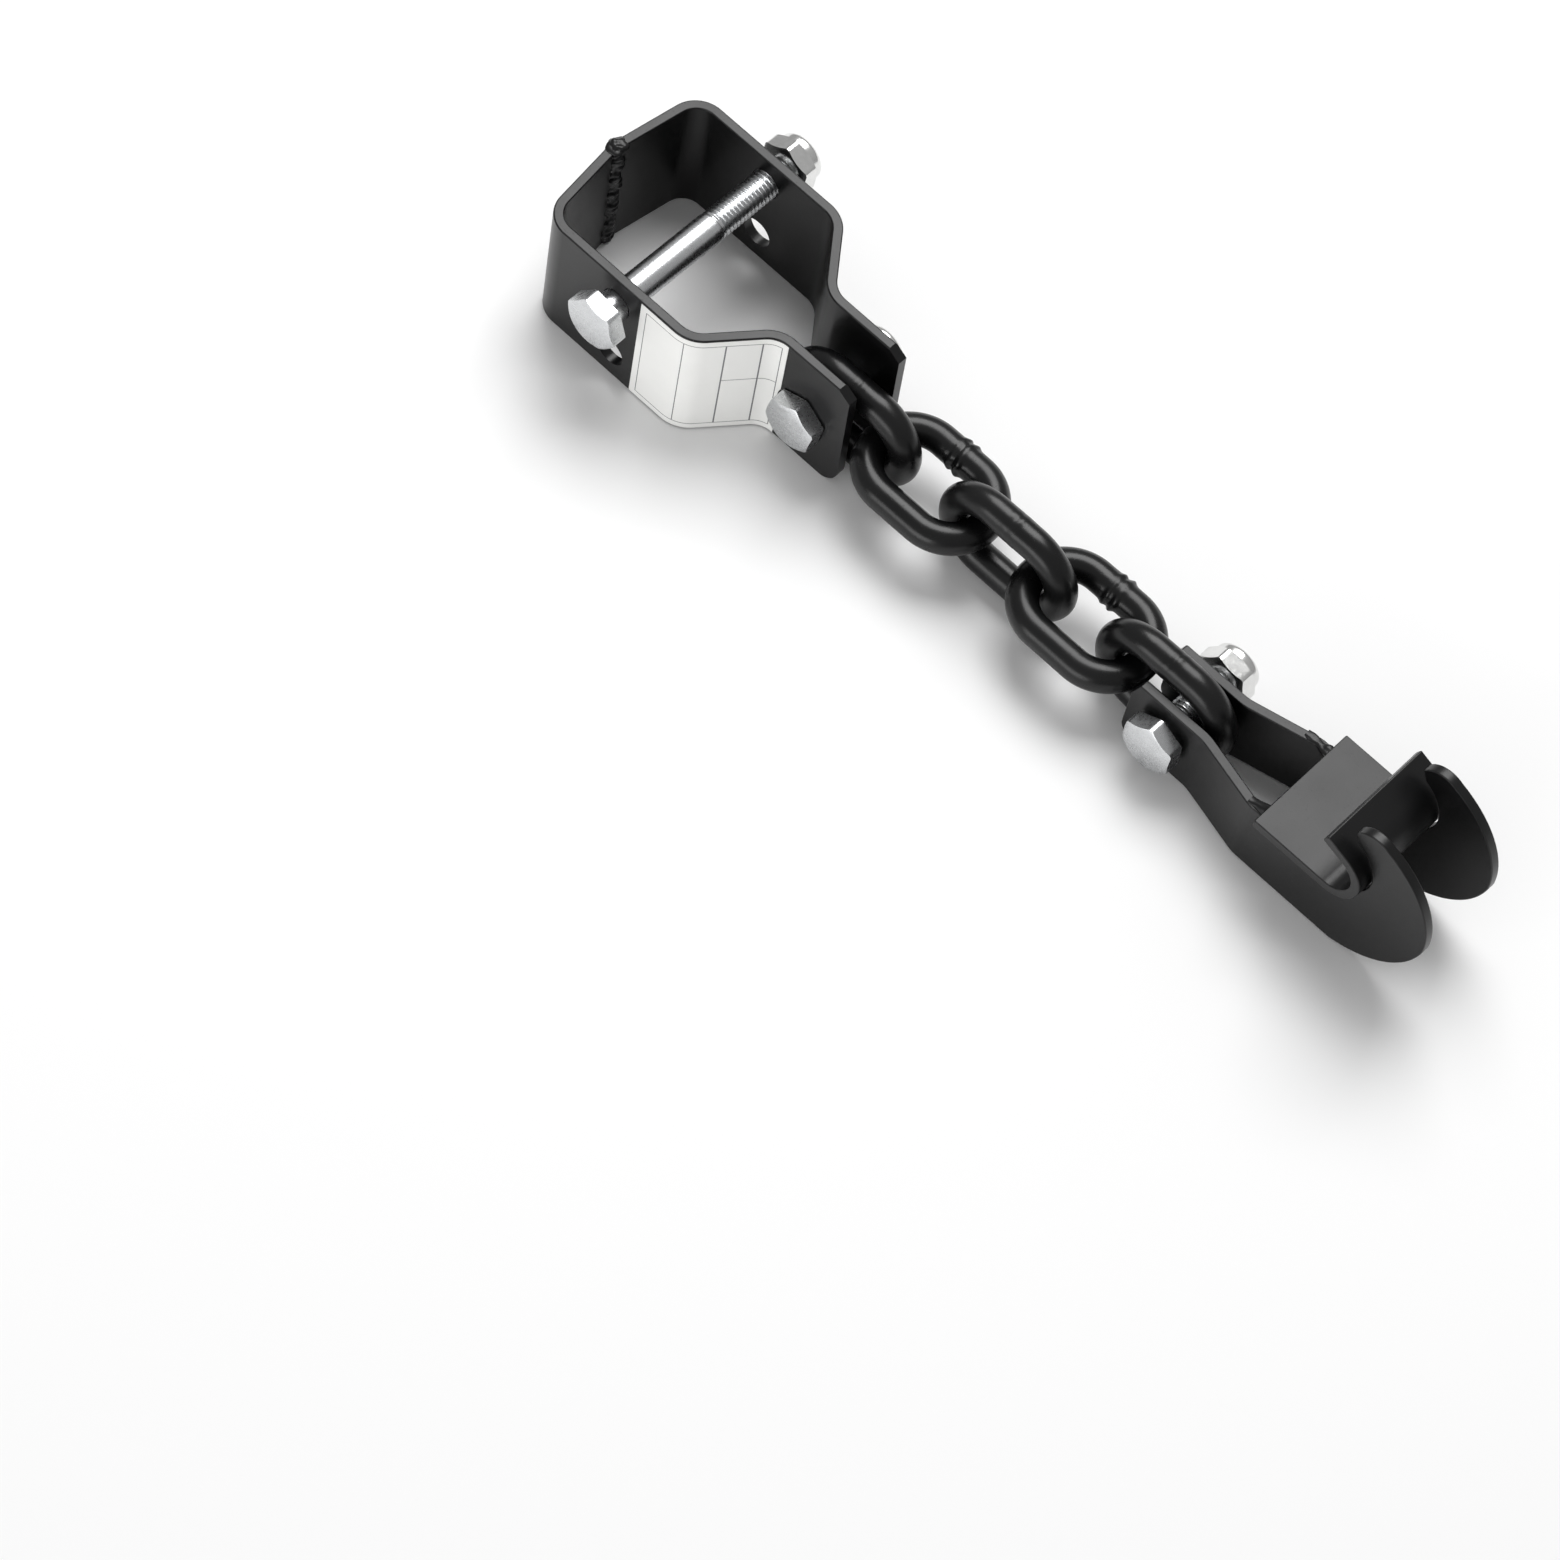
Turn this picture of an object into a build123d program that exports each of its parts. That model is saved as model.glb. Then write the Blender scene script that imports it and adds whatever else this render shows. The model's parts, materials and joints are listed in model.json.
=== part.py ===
from build123d import *
import math
import os

# Lift adapter for a farm jack: a bolted clamp, a five-link chain and a two-cheek hook.
#
# Everything is laid out with x = 0 at the clamp's weld seam, y = 0 on the plane of symmetry and
# z = 0 at the strap's lower edge, where the adapter stands. +X runs from the clamp along the chain
# to the hook, and +Y is the side of the nuts. At export the whole layout is moved so that the
# origin is the middle of the clamp's lower pair of holes.

# Clamp strap
strap_thickness = 3.2
strap_height = 47.0
strap_edge_radius = 0.5
clamp_half_width = 33.0
back_corner_x = 4.54
shoulder_x = 64.2
ear_start_x = 80.5
ear_outer_y = 12.1
ear_end_x = 110.4
back_corner_radius = 10.0
shoulder_radius = 11.5
ear_bend_radius = 8.2
ear_bottom_radius = 8.0
ear_front_lean = 1.2
ear_top_cut_x = 4.6
ear_top_cut_z = 2.9

# Holes in the clamp
hole_clearance = 0.25
jack_hole_x = 36.3
jack_hole_spacing = 25.4

# Butt weld at the back of the clamp
weld_gap = 1.6
weld_half_width = 3.5
weld_crown = 1.4
weld_overrun = 0.8
weld_lift = 0.3

# Label
label_thickness = 0.15
label_start_x = 45.5
label_end_x = 84.7
label_margin_z = 0.6
label_bolt_gap = 0.2

# M10 bolts and self-locking nuts
shank_radius = 5.0
thread_step = 0.1
hex_across_flats = 17.0
hex_corner_trim = 0.3
hex_chamfer_inset = 0.8
head_height = 6.4
washer_face_inset = 0.7
washer_face_height = 0.4
tip_chamfer = 1.0
nut_hex_height = 6.4
nut_height = 9.6
nut_collar_wall = 1.5
nut_collar_round = 1.8
nut_lip_step = 0.7
nut_lip_height = 0.6
insert_wall = 1.5
insert_height = 2.3
clamp_head_gap = 5.3
clamp_nut_gap = 3.9
clamp_bolt_stand_out = 0.2
ear_nut_gap = 2.9
ear_bolt_stand_out = -1.7
hook_head_gap = 1.3
hook_nut_gap = 4.7
hook_bolt_stand_out = -1.0
clamp_bolt_thread = 40.2
ear_bolt_thread = 25.0
hook_bolt_thread = 27.0
clamp_bolt_turn = 170.0
clamp_nut_turn = 91.0
ear_bolt_turn = 142.0
ear_nut_turn = 100.0
hook_bolt_turn = 152.0
hook_nut_turn = 109.0

# Chain
link_count = 5
wire_radius = 5.0
link_inner_width = 17.0
link_inner_length = 31.4
link_play = 0.3
link_floor_gap = 0.2
pin_gap = 0.25
ear_bearing_angle = 29.5
hook_bearing_angle = 72.5
ear_front_gap = 0.91
hook_ear_gap = 1.45
flash_height_flat = 0.7
flash_height_upright = 0.15
flash_half_length = 2.6
flash_crown = 2.0

# Hook cheeks: lengths along X count from the hook bolt, heights from the cheek's lower edge
cheek_thickness = 3.2
cheek_height = 28.05
hook_bolt_height = 15.0
hook_ear_outer_y = 10.2
hook_ear_bottom_radius = 5.0
hook_ear_top_cut_x = 2.2
hook_ear_top_cut_z = 6.3
splay_start = 12.7
splay_end = 35.7
splay_radius = 14.0
tip_outer_y = 16.05
throat_gap = 3.6
throat_shift = (-2.9, 1.35)
throat_mouth_angle = 63.0
heel_offset = 9.7
tip_low_bulge = (26.5, -31.0)
tip_front = (36.7, -10.4)
tip_high_bulge = (31.3, 8.0)
nose_top = (15.7, 20.3)
nose_crown = (8.7, 20.7)
nose_inside = (4.8, 16.6)

# Bent saddle plate
plate_thickness = 3.2
plate_half_width = 20.2
plate_back = 40.3
plate_flat = 25.9
curl_outer_radius = 11.0
curl_angle = 158.0
curl_lip_length = 8.4
plate_edge_radius = 0.4

# Welds at the two rear corners of the saddle plate
corner_weld_left_length = 6.0
corner_weld_right_length = 9.0
corner_weld_left_height = 2.8
corner_weld_right_height = 1.8
corner_weld_overhang = 0.8

# Fasteners, from the sizes above
hole_radius = shank_radius + hole_clearance
thread_radius = shank_radius - thread_step
hex_corner_radius = hex_across_flats / math.sqrt(3) - hex_corner_trim
head_flat_radius = hex_across_flats / 2 - hex_chamfer_inset
washer_face_radius = hex_across_flats / 2 - washer_face_inset
chamfer_drop = (hex_corner_radius - head_flat_radius) * math.tan(math.radians(30))
insert_radius = thread_radius + insert_wall
nut_lip_radius = thread_radius + nut_lip_step
nut_collar_radius = insert_radius + nut_collar_wall
clamp_nut_y = clamp_half_width + clamp_nut_gap
clamp_head_y = -clamp_half_width - clamp_head_gap
clamp_bolt_length = clamp_nut_y - clamp_head_y + nut_height + clamp_bolt_stand_out
ear_nut_y = ear_outer_y + ear_nut_gap
ear_bolt_length = ear_nut_y + ear_outer_y + nut_height + ear_bolt_stand_out
hook_nut_y = hook_ear_outer_y + hook_nut_gap
hook_head_y = -hook_ear_outer_y - hook_head_gap
hook_bolt_length = hook_nut_y - hook_head_y + nut_height + hook_bolt_stand_out

# Chain, from the sizes above: each pin bears on the inside of its link's bend at the named angle
jack_hole_low_z = (strap_height - jack_hole_spacing) / 2
jack_hole_high_z = (strap_height + jack_hole_spacing) / 2
chain_z = wire_radius + link_inner_width / 2 + wire_radius + link_floor_gap
link_leg = link_inner_length - link_inner_width
link_bend_radius = link_inner_width / 2 + wire_radius
link_outer_radius = link_bend_radius + wire_radius
link_step = link_inner_length - link_play
pin_swing = link_inner_width / 2 - shank_radius - pin_gap
ear_pin_offset = pin_swing * math.cos(math.radians(ear_bearing_angle))
hook_pin_offset = pin_swing * math.cos(math.radians(hook_bearing_angle))
ear_hole_z = chain_z + pin_swing * math.sin(math.radians(ear_bearing_angle))
hook_bolt_z = chain_z - pin_swing * math.sin(math.radians(hook_bearing_angle))


def reach_past(half_gap):
    """Distance from a link's bend centre to the outer side of its wire, half_gap off its long axis."""
    return math.sqrt(link_outer_radius**2 - half_gap**2)


ear_hole_inset = ear_pin_offset + link_step - reach_past(ear_outer_y - strap_thickness) - ear_front_gap
ear_hole_x = ear_end_x - ear_hole_inset
first_link_x = ear_hole_x + ear_pin_offset + link_leg / 2
last_link_x = first_link_x + (link_count - 1) * link_step
hook_bolt_x = last_link_x + link_leg / 2 + hook_pin_offset

# Hook, from the sizes above
hook_floor_gap = hook_bolt_z - hook_bolt_height
hook_ear_back = hook_pin_offset + link_step - reach_past(hook_ear_outer_y - cheek_thickness) - hook_ear_gap
curl_centre_x = plate_back + plate_flat
curl_centre_z = cheek_height + curl_outer_radius
throat_radius = curl_outer_radius + throat_gap
throat_x = curl_centre_x + throat_shift[0]
throat_z = curl_centre_z + throat_shift[1]


# ---------------------------------------------------------------- bent strips

def unit(start, end):
    length = math.dist(start, end)
    return ((end[0] - start[0]) / length, (end[1] - start[1]) / length)


def parallel(points, radii, distance):
    """The polyline that runs at a distance to the right of points, with its corner radii."""
    headings = [unit(a, b) for a, b in zip(points, points[1:])]
    normals = [(dy, -dx) for dx, dy in headings]
    corners = [tuple(p + distance * n for p, n in zip(points[0], normals[0]))]
    corner_radii = []
    for corner, radius, before, after in zip(points[1:], radii, normals, normals[1:]):
        share = distance / (1 + before[0] * after[0] + before[1] * after[1])
        corners.append(tuple(p + share * (m + n) for p, m, n in zip(corner, before, after)))
        turns_right = before[0] * after[1] - before[1] * after[0] < 0
        corner_radii.append(radius - distance if turns_right else radius + distance)
    corners.append(tuple(p + distance * n for p, n in zip(points[-1], normals[-1])))
    return corners, corner_radii


def strip(points, radii, near, far):
    """Flat face between two parallels of a polyline, near and far to its right."""
    near_points, near_radii = parallel(points, radii, near)
    far_points, far_radii = parallel(points, radii, far)
    near_side = FilletPolyline(*near_points, radius=near_radii)
    far_side = FilletPolyline(*far_points, radius=far_radii)
    start = Line(near_points[0], far_points[0])
    end = Line(near_points[-1], far_points[-1])
    return make_face([near_side, end, far_side, start])


def soften_rims(shape, low, high, radius):
    rims = shape.edges().filter_by_position(Axis.Z, low, low)
    rims += shape.edges().filter_by_position(Axis.Z, high, high)
    return fillet(rims, radius)


def cross_hole(x, z):
    return Pos(x, 0, z) * Rot(90, 0, 0) * Cylinder(hole_radius, 4 * clamp_half_width)


def upright(outline, half_depth):
    """Solid from an outline drawn in the XZ plane, reaching half_depth to each side of y = 0."""
    return extrude(Plane.XZ * outline, amount=half_depth, both=True)


# ---------------------------------------------------------------- clamp

clamp_path = [
    (0, 0),
    (back_corner_x, clamp_half_width),
    (shoulder_x, clamp_half_width),
    (ear_start_x, ear_outer_y),
    (ear_end_x, ear_outer_y),
]
clamp_radii = [back_corner_radius, shoulder_radius, ear_bend_radius]


def clamp_side_outline():
    """Side view of the strap: rounded lower corner and cut upper corner at the ear's front."""
    back = -strap_thickness
    outline = Polyline(
        (back, 0),
        (ear_end_x, 0),
        (ear_end_x - ear_front_lean, strap_height - ear_top_cut_z),
        (ear_end_x - ear_front_lean - ear_top_cut_x, strap_height),
        (back, strap_height),
        close=True,
    )
    face = make_face(outline)
    corner = face.vertices().sort_by(Axis.X)[-1]
    return fillet(corner, ear_bottom_radius)


def clamp_half():
    band = extrude(strip(clamp_path, clamp_radii, 0, strap_thickness), amount=strap_height)
    band = soften_rims(band, 0, strap_height, strap_edge_radius)
    band &= upright(clamp_side_outline(), 2 * clamp_half_width)
    room = Box(4 * ear_end_x, 2 * clamp_half_width, 4 * strap_height)
    band &= Pos(0, weld_gap / 2 + clamp_half_width, 0) * room
    for z in (jack_hole_low_z, jack_hole_high_z):
        band -= cross_hole(jack_hole_x, z)
    return band - cross_hole(ear_hole_x, ear_hole_z)


def seam_weld(halves):
    slope_x = weld_half_width * back_corner_x / clamp_half_width
    outside = ThreePointArc((slope_x, -weld_half_width), (-weld_crown, 0), (slope_x, weld_half_width))
    inside_x = slope_x + strap_thickness
    inside = ThreePointArc(
        (inside_x, weld_half_width), (strap_thickness + weld_crown, 0), (inside_x, -weld_half_width)
    )
    ends = [Line(outside @ 1, inside @ 0), Line(inside @ 1, outside @ 0)]
    bead = extrude(make_face([outside, inside] + ends), amount=strap_height + weld_overrun - weld_lift)
    bead = Pos(0, 0, weld_lift) * bead
    for half in halves:
        bead -= half
    return bead


def blank_label():
    sheet = extrude(strip(clamp_path, clamp_radii, -label_thickness, 0), amount=strap_height)
    length = label_end_x - label_start_x
    window = Box(length, 4 * clamp_half_width, strap_height - 2 * label_margin_z)
    sheet &= Pos(label_start_x + length / 2, 0, strap_height / 2) * window
    head_room = Cylinder(hex_corner_radius + label_bolt_gap, 4 * clamp_half_width)
    return mirror(sheet, Plane.XZ) - Pos(ear_hole_x, 0, ear_hole_z) * Rot(90, 0, 0) * head_room


# ---------------------------------------------------------------- fasteners

def hexagon(height, turn):
    """Prism along +Z whose corner ends up at turn degrees from +X towards +Z once it lies along +Y."""
    return extrude(Rot(0, 0, -turn) * RegularPolygon(hex_corner_radius + hex_corner_trim, 6), amount=height)


def turned(points):
    """Solid of revolution about Z from a half section given as (radius, height) points."""
    return revolve(make_face(Plane.XZ * Polyline(*points, close=True)), Axis.Z)


def along_y(shape, x, y, z):
    """Place a piece that was made along +Z so that it points along +Y."""
    return Pos(x, y, z) * Rot(-90, 0, 0) * shape


def hex_bolt(length, shank_length, turn):
    """Bolt along +Z with its bearing face at z = 0 and the head below it."""
    head_form = turned([
        (0, 0),
        (washer_face_radius, 0),
        (washer_face_radius, -washer_face_height),
        (hex_corner_radius, -washer_face_height),
        (hex_corner_radius, chamfer_drop - head_height),
        (head_flat_radius, -head_height),
        (0, -head_height),
    ])
    head = Pos(0, 0, -head_height) * hexagon(head_height, turn) & head_form
    stem = turned([
        (0, -washer_face_height),
        (shank_radius, -washer_face_height),
        (shank_radius, shank_length),
        (thread_radius, shank_length),
        (thread_radius, length - tip_chamfer),
        (thread_radius - tip_chamfer, length),
        (0, length),
    ])
    return head + stem


def lock_nut(turn):
    """Nut with a round collar, bearing face at z = 0 and the collar above it."""
    hex_form = turned([
        (0, 0),
        (head_flat_radius, 0),
        (hex_corner_radius, chamfer_drop),
        (hex_corner_radius, nut_hex_height - chamfer_drop),
        (head_flat_radius, nut_hex_height),
        (0, nut_hex_height),
    ])
    collar = Pos(0, 0, nut_height / 2) * Cylinder(nut_collar_radius, nut_height)
    collar = fillet(collar.edges().group_by(Axis.Z)[-1], nut_collar_round)
    body = (hexagon(nut_hex_height, turn) & hex_form) + collar
    seat = nut_height - nut_lip_height - insert_height
    bore = turned([
        (0, 0),
        (thread_radius, 0),
        (thread_radius, seat),
        (insert_radius, seat),
        (insert_radius, seat + insert_height),
        (nut_lip_radius, seat + insert_height),
        (nut_lip_radius, nut_height),
        (0, nut_height),
    ])
    return body - bore


def nut_insert():
    seat = nut_height - nut_lip_height - insert_height
    ring = Cylinder(insert_radius, insert_height) - Cylinder(thread_radius, insert_height)
    return Pos(0, 0, seat + insert_height / 2) * ring


def fastener_set(name, x, z, head_y, nut_y, length, thread_length, bolt_turn, nut_turn):
    """One bolt, its nut and the nut's plastic ring, on an axis along Y."""
    return {
        name + "_bolt": along_y(hex_bolt(length, length - thread_length, bolt_turn), x, head_y, z),
        name + "_nut": along_y(lock_nut(nut_turn), x, nut_y, z),
        name + "_nut_insert": along_y(nut_insert(), x, nut_y, z),
    }


# ---------------------------------------------------------------- chain

def chain_link(flash_height):
    """Round-wire link in the XY plane, long axis along X, with the weld swelling on its +Y leg."""
    section = Plane.XZ * Pos(link_bend_radius, 0) * Circle(wire_radius)
    bend = Rot(0, 0, -90) * revolve(section, Axis.Z, 180)
    leg = Rot(0, 90, 0) * Cylinder(wire_radius, link_leg)
    link = Pos(link_leg / 2, 0, 0) * bend + Pos(-link_leg / 2, 0, 0) * Rot(0, 0, 180) * bend
    for side in (-1, 1):
        link += Pos(0, side * link_bend_radius, 0) * leg
    ring = Rot(0, 90, 0) * turned([
        (0, -flash_half_length),
        (wire_radius, -flash_half_length),
        (wire_radius + flash_height, -flash_crown / 2),
        (wire_radius + flash_height, flash_crown / 2),
        (wire_radius, flash_half_length),
        (0, flash_half_length),
    ])
    return link + Pos(0, link_bend_radius, 0) * ring


def chain():
    pieces = {}
    for number in range(1, link_count + 1):
        is_upright = number % 2 == 1
        link = chain_link(flash_height_upright if is_upright else flash_height_flat)
        if is_upright:
            link = Rot(90, 0, 0) * link
        x = first_link_x + (number - 1) * link_step
        pieces[f"chain_link_{number}"] = Pos(x, 0, chain_z) * link
    return pieces


# ---------------------------------------------------------------- hook

def by_throat(offset):
    """Point at an offset from the centre of the throat."""
    return (throat_x + offset[0], throat_z + offset[1])


def on_throat(angle):
    return by_throat((throat_radius * math.cos(angle), throat_radius * math.sin(angle)))


def cheek_outline():
    """Side view of one cheek, from the ear round the heel and the tip back to the seat."""
    mouth = math.radians(throat_mouth_angle)
    seat = -math.asin((throat_z - cheek_height) / throat_radius)
    ear_low = (-hook_ear_back, 0)
    ear_cut = (-hook_ear_back, cheek_height - hook_ear_top_cut_z)
    ear_top = (-hook_ear_back + hook_ear_top_cut_x, cheek_height)
    heel = (throat_x + heel_offset, 0)
    lines = [
        Polyline(on_throat(seat), ear_top, ear_cut, ear_low, heel),
        ThreePointArc(heel, by_throat(tip_low_bulge), by_throat(tip_front)),
        ThreePointArc(by_throat(tip_front), by_throat(tip_high_bulge), by_throat(nose_top)),
        ThreePointArc(by_throat(nose_top), by_throat(nose_crown), by_throat(nose_inside)),
        Line(by_throat(nose_inside), on_throat(mouth)),
        ThreePointArc(on_throat(mouth), on_throat((mouth + seat) / 2), on_throat(seat)),
    ]
    face = make_face(lines)
    corner = face.vertices().sort_by_distance((*ear_low, 0))[0]
    return fillet(corner, hook_ear_bottom_radius)


def hook_cheek():
    """The cheek on the +Y side, x counted from the hook bolt and z from its lower edge."""
    path = [
        (-2 * hook_ear_back, hook_ear_outer_y),
        (splay_start, hook_ear_outer_y),
        (splay_end, tip_outer_y),
        (2 * by_throat(tip_front)[0], tip_outer_y),
    ]
    band = strip(path, [splay_radius, splay_radius], 0, cheek_thickness)
    tall_enough = 2 * by_throat(nose_crown)[1]
    cheek = extrude(band, amount=tall_enough) & upright(cheek_outline(), 2 * tip_outer_y)
    return cheek - cross_hole(0, hook_bolt_height)


def saddle_plate():
    """Flat plate on the cheeks' upper edges that curls up and back in front."""
    inner_radius = curl_outer_radius - plate_thickness
    end = math.radians(curl_angle - 90)

    def on_curl(radius, angle):
        return (curl_centre_x + radius * math.cos(angle), curl_centre_z + radius * math.sin(angle))

    def lip_end(point):
        heading = math.radians(curl_angle)
        reach = curl_lip_length * math.cos(heading)
        rise = curl_lip_length * math.sin(heading)
        return (point[0] + reach, point[1] + rise)

    sides = []
    for radius in (curl_outer_radius, inner_radius):
        start = on_curl(radius, -math.pi / 2)
        sides.append(Line((plate_back, start[1]), start))
        sides.append(ThreePointArc(start, on_curl(radius, (end - math.pi / 2) / 2), on_curl(radius, end)))
        sides.append(Line(on_curl(radius, end), lip_end(on_curl(radius, end))))
    back = Line((plate_back, cheek_height), (plate_back, cheek_height + plate_thickness))
    lip = Line(lip_end(on_curl(curl_outer_radius, end)), lip_end(on_curl(inner_radius, end)))
    plate = upright(make_face(sides + [back, lip]), plate_half_width)
    edges = plate.edges().filter_by_position(Axis.Y, -plate_half_width, -plate_half_width)
    edges += plate.edges().filter_by_position(Axis.Y, plate_half_width, plate_half_width)
    return fillet(edges, plate_edge_radius)


def corner_weld(length, height):
    """Weld on a cheek's upper edge behind the saddle plate, on the +Y side."""
    foot = (plate_back - length, cheek_height)
    crown = (plate_back, cheek_height + height)
    sag = (plate_back - 0.38 * length, cheek_height + 0.38 * height)
    outline = [ThreePointArc(foot, sag, crown), Polyline(crown, (plate_back, cheek_height), foot)]
    width = cheek_thickness + corner_weld_overhang
    bead = upright(make_face(outline), width / 2)
    return Pos(0, tip_outer_y - width / 2, 0) * bead


# ---------------------------------------------------------------- assembly

def assemble():
    pieces = {}
    right = clamp_half()
    left = mirror(right, Plane.XZ)
    pieces["clamp_half_left"] = left
    pieces["clamp_half_right"] = right
    pieces["clamp_seam_weld"] = seam_weld([left, right])
    pieces["blank_label"] = blank_label()
    pieces.update(fastener_set(
        "clamp", jack_hole_x, jack_hole_high_z, clamp_head_y, clamp_nut_y,
        clamp_bolt_length, clamp_bolt_thread, clamp_bolt_turn, clamp_nut_turn,
    ))
    pieces.update(fastener_set(
        "ear", ear_hole_x, ear_hole_z, -ear_outer_y, ear_nut_y,
        ear_bolt_length, ear_bolt_thread, ear_bolt_turn, ear_nut_turn,
    ))
    pieces.update(chain())
    pieces.update(fastener_set(
        "hook", hook_bolt_x, hook_bolt_z, hook_head_y, hook_nut_y,
        hook_bolt_length, hook_bolt_thread, hook_bolt_turn, hook_nut_turn,
    ))
    hook_place = Pos(hook_bolt_x, 0, hook_floor_gap)
    cheek = hook_cheek()
    pieces["hook_cheek_left"] = hook_place * mirror(cheek, Plane.XZ)
    pieces["hook_cheek_right"] = hook_place * cheek
    pieces["hook_saddle_plate"] = hook_place * saddle_plate()
    weld_left = mirror(corner_weld(corner_weld_left_length, corner_weld_left_height), Plane.XZ)
    weld_right = corner_weld(corner_weld_right_length, corner_weld_right_height)
    pieces["hook_weld_left"] = hook_place * weld_left
    pieces["hook_weld_right"] = hook_place * weld_right
    return pieces


os.makedirs("parts", exist_ok=True)
to_origin = Pos(-jack_hole_x, 0, -jack_hole_low_z)
for node, shape in assemble().items():
    export_step(to_origin * shape, f"parts/{node}.step")
print(f"ear bolt x {ear_hole_x - jack_hole_x:.3f} z {ear_hole_z - jack_hole_low_z:.3f}")
print(f"hook bolt x {hook_bolt_x - jack_hole_x:.3f} z {hook_bolt_z - jack_hole_low_z:.3f}")
print(f"chain z {chain_z - jack_hole_low_z:.3f}, floor z {-jack_hole_low_z:.3f}")
for number in range(link_count):
    x = first_link_x + number * link_step - jack_hole_x
    print(f"link {number + 1} centre x {x:.3f}, far wire x {x + link_leg / 2 + link_bend_radius:.3f}")
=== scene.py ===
import json
import math

import bmesh
import bpy
from mathutils import Matrix, Vector, noise


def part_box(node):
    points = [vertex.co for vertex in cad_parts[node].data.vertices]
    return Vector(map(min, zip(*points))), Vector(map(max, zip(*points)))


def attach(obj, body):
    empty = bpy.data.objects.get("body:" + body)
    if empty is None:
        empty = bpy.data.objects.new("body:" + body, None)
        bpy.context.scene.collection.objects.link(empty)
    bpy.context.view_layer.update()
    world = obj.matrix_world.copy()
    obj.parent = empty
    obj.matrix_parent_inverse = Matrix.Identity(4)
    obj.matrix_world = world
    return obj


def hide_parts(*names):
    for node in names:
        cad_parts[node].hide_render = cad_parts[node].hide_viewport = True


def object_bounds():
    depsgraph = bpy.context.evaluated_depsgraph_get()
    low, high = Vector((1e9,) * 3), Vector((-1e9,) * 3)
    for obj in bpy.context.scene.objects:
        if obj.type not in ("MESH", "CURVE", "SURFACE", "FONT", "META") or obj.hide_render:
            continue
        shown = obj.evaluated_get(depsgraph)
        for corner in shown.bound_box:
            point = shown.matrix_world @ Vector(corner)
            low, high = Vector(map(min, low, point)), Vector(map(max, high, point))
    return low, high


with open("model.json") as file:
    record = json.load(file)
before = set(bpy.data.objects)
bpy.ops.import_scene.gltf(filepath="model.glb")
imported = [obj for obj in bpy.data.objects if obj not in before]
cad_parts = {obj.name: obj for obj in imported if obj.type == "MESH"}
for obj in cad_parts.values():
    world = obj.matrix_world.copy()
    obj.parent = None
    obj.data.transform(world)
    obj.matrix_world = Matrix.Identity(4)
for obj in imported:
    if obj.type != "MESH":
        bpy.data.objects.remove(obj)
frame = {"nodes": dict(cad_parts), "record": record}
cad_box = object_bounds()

MM = 0.001
TAU = 2 * math.pi

# Camera: the direction it looks from, its distance, its roll and its lens (millimetres of a 36 mm frame)
CAMERA_AZIMUTH = 32.44
CAMERA_ELEVATION = 61.26
CAMERA_ROLL = 12.99
CAMERA_DISTANCE = 1.4908
CAMERA_LENS = 118.04
AIM_FROM_ORIGIN = Vector((123.1, -82.2, -37.2)) * MM

# Sizes that the CAD model also has, in metres
STRAP_THICKNESS = 3.2 * MM
WIRE_RADIUS = 5.0 * MM
LINK_INNER_WIDTH = 17.0 * MM
LINK_INNER_LENGTH = 31.4 * MM
HEX_ACROSS_FLATS = 17.0 * MM
HEX_CORNER_RADIUS = 9.515 * MM
HEX_FLAT_RADIUS = 7.6 * MM
HEAD_HEIGHT = 6.4 * MM
WASHER_FACE_RADIUS = 7.8 * MM
WASHER_FACE_HEIGHT = 0.4 * MM
SHANK_RADIUS = 5.0 * MM
THREAD_PITCH = 1.5 * MM
THREAD_DEPTH = 0.85 * MM
NUT_HEX_HEIGHT = 6.4 * MM
NUT_HEIGHT = 9.6 * MM
NUT_COLLAR_RADIUS = 7.9 * MM
NUT_COLLAR_ROUND = 1.8 * MM
NUT_LIP_RADIUS = 5.6 * MM
NUT_LIP_HEIGHT = 0.6 * MM


# Shape of details that only the visual model has, in metres unless said otherwise
HEAD_EDGE_ROUND = 0.18 * MM
NUT_EDGE_ROUND = 0.2 * MM
FILLET_FLARE = 0.2 * MM
PLATE_EDGE_ROUND = 0.45 * MM
PLATE_BEND_ANGLE = 40.0  # degrees: steeper edges than this are rounded, gentler ones are bends
HEX_SHARP_ANGLE = 18.0  # degrees
FASTENER_SHARP_ANGLE = 38.0  # degrees
BEAD_MOST_INSIDE = 2.3  # millimetres that the seam's bead may stand inside the strap
BEAD_MOST_OUTSIDE = 1.15  # millimetres that it may stand outside, within the CAD box
CRATER_RADIUS = 3.0 * MM
CRATER_RISE = 1.1 * MM

# Lights and floor: places and sizes in metres, powers in watts
LIGHT_TARGET = (0.12, 0.0, 0.02)
OVERHEAD_PLACE = (-0.30, 0.68, 1.45)
OVERHEAD_SIZE = (1.05, 1.05)
OVERHEAD_POWER = 24.5
FRONT_PLACE = (0.1, -1.9, 0.42)
FRONT_SIZE = (1.6, 0.8)
FRONT_POWER = 15.0
SKY_LOW = 0.35
SKY_HIGH = 0.45
FLOOR_WHITE = 0.90
FLOOR_HALF_SIZE = 6.0


# ---------------------------------------------------------------- helpers


def middle(node):
    """Centre of a CAD node's box."""
    low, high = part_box(node)
    return (low + high) / 2


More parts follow.
